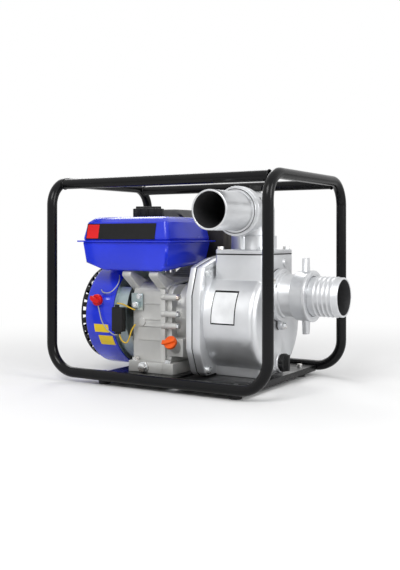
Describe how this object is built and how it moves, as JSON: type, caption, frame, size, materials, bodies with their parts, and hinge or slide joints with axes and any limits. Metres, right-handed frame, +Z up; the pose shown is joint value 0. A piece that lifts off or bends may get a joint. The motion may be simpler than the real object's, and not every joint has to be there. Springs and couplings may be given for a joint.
{
  "type": "gas engine trash pump",
  "caption": "Petrol engine close-coupled to a self-priming centrifugal pump, in a tubular roll cage with a top tank and hose nozzles.",
  "frame": {"origin": "middle of the bounding box's floor, under the whole machine", "axes": "+X along the crankshaft towards the suction port, -Y towards the discharge port, +Z up"},
  "size_m": [0.585, 0.367, 0.422],
  "materials": {
    "black_paint": "gloss",
    "blue_paint": "gloss",
    "grey_cast": "as cast",
    "bright_cast": "polished casting",
    "zinc": "zinc plated",
    "steel": "machined",
    "iron": "as cast",
    "black_plastic": "satin",
    "red_plastic": "gloss",
    "orange_plastic": "gloss",
    "rubber_black": "matt",
    "wire": "satin",
    "filter": "foam"
  },
  "bodies": {
    "machine": {"end_hoop_left": "black_paint", "end_hoop_right": "black_paint", "bottom_rail_near": "black_paint", "bottom_rail_far": "black_paint", "top_rail_near": "black_paint", "top_rail_far": "black_paint", "engine_base_plate": "black_paint", "pump_base_plate": "black_paint", "rubber_feet": "rubber_black", "base_bolts": "zinc", "crankcase": "grey_cast", "crankcase_cover": "grey_cast", "main_bearings": "steel", "cylinder_head": "grey_cast", "valve_cover": "black_paint", "piston": "bright_cast", "fan_cover": "blue_paint", "recoil_housing": "black_paint", "cooling_baffle": "zinc", "oil_alert_unit": "black_plastic", "wire_clamp": "zinc", "engine_wires": "wire", "engine_bolts": "zinc", "fuel_tank_lower": "blue_paint", "fuel_tank_upper": "blue_paint", "carburettor": "grey_cast", "air_cleaner_base": "black_plastic", "air_filter_element": "filter", "air_cleaner_cover": "black_plastic", "muffler": "steel", "muffler_guard": "black_paint", "spark_plug": "steel", "ignition_lead": "rubber_black", "pump_adapter": "bright_cast", "pump_casing": "bright_cast", "inner_volute": "iron", "pump_gaskets": "rubber_black", "discharge_elbow": "bright_cast", "discharge_nozzle": "bright_cast", "suction_flange": "bright_cast", "suction_nozzle": "bright_cast", "mechanical_seal": "steel", "pump_bolts": "zinc"},
    "crank_assembly": {"crankshaft": "steel", "flywheel": "iron", "cooling_fan": "black_plastic", "starter_cup": "zinc", "impeller": "iron"},
    "cam_assembly": {"camshaft": "steel"},
    "pull_grip": {"starter_grip": "black_plastic"},
    "rope_pulley": {"recoil_pulley": "black_plastic"},
    "stop_switch": {"engine_switch": "red_plastic"},
    "throttle": {"throttle_lever": "zinc"},
    "choke": {"choke_lever": "black_plastic"},
    "fuel_valve": {"fuel_valve_lever": "black_plastic"},
    "tank_cap": {"fuel_cap": "black_plastic"},
    "oil_filler_cap": {"oil_cap": "orange_plastic"},
    "union_nut": {"suction_nut": "bright_cast"},
    "drain": {"drain_knob": "black_plastic"},
    "check_valve": {"check_valve_flap": "rubber_black"}
  },
  "joints": [
    {"name": "crank_spin", "type": "hinge", "parent": "machine", "child": "crank_assembly", "pos_m": [0, 0, 0.13], "axis": [1, 0, 0], "continuous": true},
    {"name": "cam_spin", "type": "hinge", "parent": "machine", "child": "cam_assembly", "pos_m": [0, -0.04287, 0.15475], "axis": [1, 0, 0], "continuous": true},
    {"name": "starter_pull", "type": "slide", "parent": "machine", "child": "pull_grip", "axis": [-1, 0, 0], "range_m": [0, 0.45], "stiffness_N_per_m": 20, "springref_m": -0.2},
    {"name": "recoil_spin", "type": "hinge", "parent": "machine", "child": "rope_pulley", "pos_m": [0, 0, 0.13], "axis": [1, 0, 0], "range_deg": [0, 700]},
    {"name": "engine_switch_turn", "type": "hinge", "parent": "machine", "child": "stop_switch", "pos_m": [-0.21, -0.1105, 0.164], "axis": [0, 1, 0], "range_deg": [0, 60]},
    {"name": "throttle_turn", "type": "hinge", "parent": "machine", "child": "throttle", "pos_m": [-0.17, 0.11729, 0.222], "axis": [0, 0, 1], "range_deg": [-30, 0]},
    {"name": "choke_turn", "type": "hinge", "parent": "machine", "child": "choke", "pos_m": [-0.186, 0.11729, 0.228], "axis": [0, 0, 1], "range_deg": [-60, 0]},
    {"name": "fuel_valve_turn", "type": "hinge", "parent": "machine", "child": "fuel_valve", "pos_m": [-0.177, 0.147, 0.17191], "axis": [0, 1, 0], "range_deg": [0, 90]},
    {"name": "fuel_cap_turn", "type": "hinge", "parent": "machine", "child": "tank_cap", "pos_m": [-0.138, -0.03, 0.346], "axis": [0, 0, 1], "range_deg": [0, 90]},
    {"name": "oil_cap_turn", "type": "hinge", "parent": "machine", "child": "oil_filler_cap", "pos_m": [-0.029, -0.086, 0.072], "axis": [0, -0.866, 0.5], "range_deg": [0, 360]},
    {"name": "suction_nut_turn", "type": "hinge", "parent": "machine", "child": "union_nut", "pos_m": [0.215, 0, 0.181], "axis": [1, 0, 0], "range_deg": [0, 360]},
    {"name": "drain_knob_turn", "type": "hinge", "parent": "machine", "child": "drain", "pos_m": [0.16, 0.01, 0.046], "axis": [1, 0, 0], "range_deg": [0, 360]},
    {"name": "check_valve_swing", "type": "hinge", "parent": "machine", "child": "check_valve", "pos_m": [0.1415, 0, 0.219], "axis": [0, 1, 0], "range_deg": [0, 45]}
  ],
  "couplings": [
    {"joint": "cam_spin", "follows": "crank_spin", "ratio": -0.5},
    {"joint": "recoil_spin", "follows": "starter_pull", "rad_per_m": 26.667}
  ]
}
